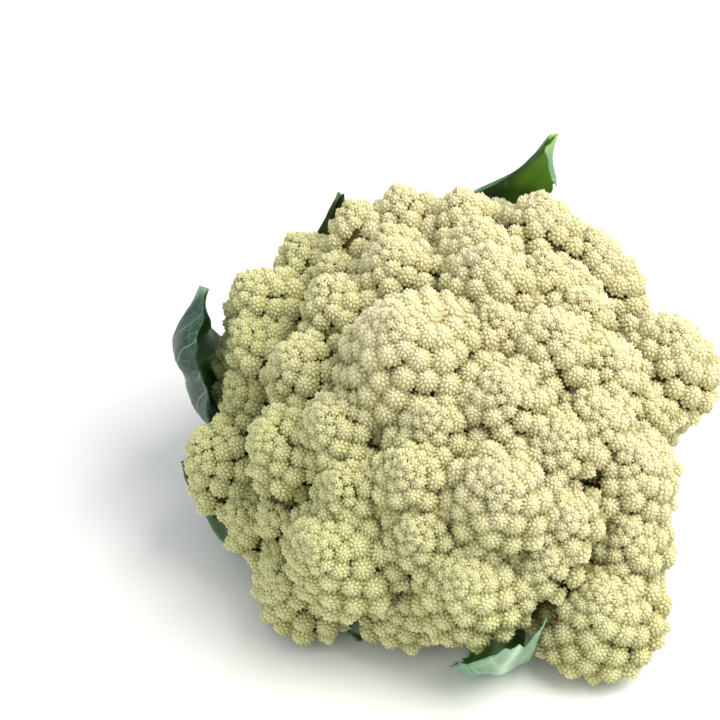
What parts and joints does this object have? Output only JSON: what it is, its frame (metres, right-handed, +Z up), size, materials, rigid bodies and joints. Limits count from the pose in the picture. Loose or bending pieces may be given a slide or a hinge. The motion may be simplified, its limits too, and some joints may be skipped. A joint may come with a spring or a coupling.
{
  "type": "cauliflower",
  "caption": "Pointed, pale green cauliflower head with spiral florets, a cut stalk and short leaves, lying on its stalk.",
  "frame": {"origin": "centre of the bounding box at the surface that the head lies on", "axes": "+Z up from the surface, -Y towards the side that is seen first, +X to that side's right"},
  "size_m": [0.1922, 0.1884, 0.1315],
  "materials": {
    "curd": "matte, pale cream green, darker in the creases",
    "stalk": "matte, pale green with a paler cut face",
    "leaf_pale": "waxy blue green with pale veins",
    "leaf_dark": "satin dark green with pale veins",
    "leaf_mid": "satin green with pale veins"
  },
  "bodies": {
    "root": {"curd": "curd", "stalk": "stalk", "leaf_front": "leaf_pale", "leaf_front_left": "leaf_dark", "leaf_low_left": "leaf_dark", "leaf_left": "leaf_pale", "leaf_back_left": "leaf_mid", "leaf_back_right": "leaf_mid", "leaf_low_back": "leaf_mid", "leaf_low_right": "leaf_mid"}
  },
  "joints": []
}
